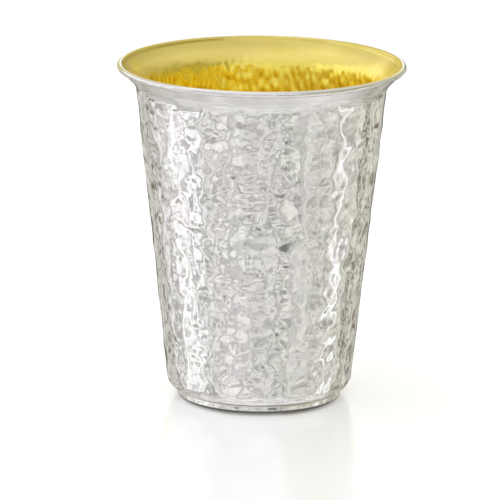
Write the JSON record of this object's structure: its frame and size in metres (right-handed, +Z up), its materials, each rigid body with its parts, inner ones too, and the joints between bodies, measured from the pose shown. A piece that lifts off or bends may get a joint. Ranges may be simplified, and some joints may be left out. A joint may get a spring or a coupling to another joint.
{
  "type": "kiddush cup",
  "caption": "Conical beaker in hammered silver with a smooth flared lip, gilded inside, on a low foot wire, for the blessing over wine.",
  "frame": {"origin": "on the table, at the centre of the foot wire", "axes": "+Z up along the cup's axis, out of its mouth; X and Y are alike, because the cup is round"},
  "size_m": [0.0724, 0.0724, 0.085],
  "materials": {
    "silver": "hammered and polished sterling silver outside, satin yellow gilding inside",
    "foot_silver": "plain polished sterling silver"
  },
  "bodies": {
    "root": {"cup": "silver", "foot_ring": "foot_silver"}
  },
  "joints": []
}
